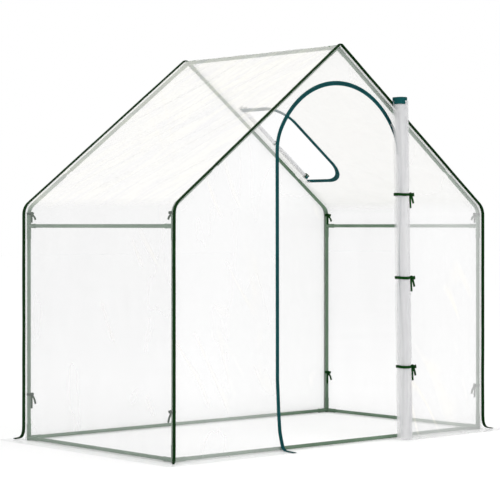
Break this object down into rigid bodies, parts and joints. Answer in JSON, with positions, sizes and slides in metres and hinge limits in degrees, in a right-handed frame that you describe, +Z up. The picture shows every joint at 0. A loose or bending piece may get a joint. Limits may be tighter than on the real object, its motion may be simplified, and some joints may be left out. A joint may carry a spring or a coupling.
{
  "type": "mini walk-in greenhouse",
  "caption": "Small gabled greenhouse: push-together steel tube frame under a clear film cover with a roll-up zipped door, a roll-up roof window and a ground skirt.",
  "frame": {"origin": "on the ground at the middle of the footprint", "axes": "+X to the right seen from the door, +Y from the door's gable to the rear gable, +Z up"},
  "size_m": [1.9818, 1.1993, 1.6981],
  "materials": {
    "green_painted_steel": "satin",
    "clear_film": "clear, soft gloss",
    "dark_green_binding": "woven",
    "teal_zip_tape": "woven",
    "green_ribbon": "woven",
    "zip_slider_metal": "satin"
  },
  "bodies": {
    "greenhouse": {"bottom_rail_front_left": "green_painted_steel", "bottom_rail_front_right": "green_painted_steel", "bottom_rail_left_front": "green_painted_steel", "bottom_rail_left_rear": "green_painted_steel", "bottom_rail_rear_left": "green_painted_steel", "bottom_rail_rear_right": "green_painted_steel", "bottom_rail_right_front": "green_painted_steel", "bottom_rail_right_rear": "green_painted_steel", "corner_connector_front_left": "green_painted_steel", "corner_connector_front_right": "green_painted_steel", "corner_connector_rear_left": "green_painted_steel", "corner_connector_rear_right": "green_painted_steel", "door_tie_bottom": "green_ribbon", "door_tie_middle": "green_ribbon", "door_tie_top": "green_ribbon", "door_zip_tape": "teal_zip_tape", "eave_tee_front_left": "green_painted_steel", "eave_tee_front_right": "green_painted_steel", "eave_tee_rear_left": "green_painted_steel", "eave_tee_rear_right": "green_painted_steel", "eave_tube_front_left": "green_painted_steel", "eave_tube_front_right": "green_painted_steel", "eave_tube_rear_left": "green_painted_steel", "eave_tube_rear_right": "green_painted_steel", "front_gable_binding": "dark_green_binding", "front_gable_panel": "clear_film", "left_roof_film": "clear_film", "left_wall_film": "clear_film", "post_front_left": "green_painted_steel", "post_front_right": "green_painted_steel", "post_rear_left": "green_painted_steel", "post_rear_right": "green_painted_steel", "post_tie_lower_front_left": "green_ribbon", "post_tie_lower_front_right": "green_ribbon", "post_tie_lower_rear_left": "green_ribbon", "post_tie_lower_rear_right": "green_ribbon", "post_tie_upper_front_left": "green_ribbon", "post_tie_upper_front_right": "green_ribbon", "post_tie_upper_rear_left": "green_ribbon", "post_tie_upper_rear_right": "green_ribbon", "rafter_front_left": "green_painted_steel", "rafter_front_right": "green_painted_steel", "rafter_rear_left": "green_painted_steel", "rafter_rear_right": "green_painted_steel", "rear_gable_binding": "dark_green_binding", "rear_gable_panel": "clear_film", "ridge_bar": "green_painted_steel", "ridge_connector_front": "green_painted_steel", "ridge_connector_rear": "green_painted_steel", "right_roof_film": "clear_film", "right_wall_film": "clear_film", "side_rail_left": "green_painted_steel", "side_rail_right": "green_painted_steel", "window_tie_foot": "green_ribbon", "window_tie_top": "green_ribbon", "window_zip_tape": "teal_zip_tape"},
    "door_flap": {"door_flap_roll": "clear_film"},
    "window_flap": {"window_flap_roll": "clear_film"},
    "door_slider": {"door_zip_slider": "zip_slider_metal"},
    "window_slider": {"window_zip_slider": "zip_slider_metal"}
  },
  "joints": [
    {"name": "door_flap_travel", "type": "slide", "parent": "greenhouse", "child": "door_flap", "axis": [-1, 0, 0], "range_m": [0, 0.62], "deforming": ["door_tie_top", "door_tie_middle", "door_tie_bottom"]},
    {"name": "window_flap_travel", "type": "slide", "parent": "greenhouse", "child": "window_flap", "axis": [0, -1, 0], "range_m": [0, 0.28], "deforming": ["window_tie_top", "window_tie_foot"]},
    {"name": "door_zip_travel", "type": "hinge", "parent": "greenhouse", "child": "door_slider", "pos_m": [0.001, -0.5128, 1.153], "axis": [0, -1, 0], "range_deg": [0, 115]},
    {"name": "window_zip_travel", "type": "slide", "parent": "greenhouse", "child": "window_slider", "axis": [0, -1, 0], "range_m": [0, 0.075]}
  ]
}
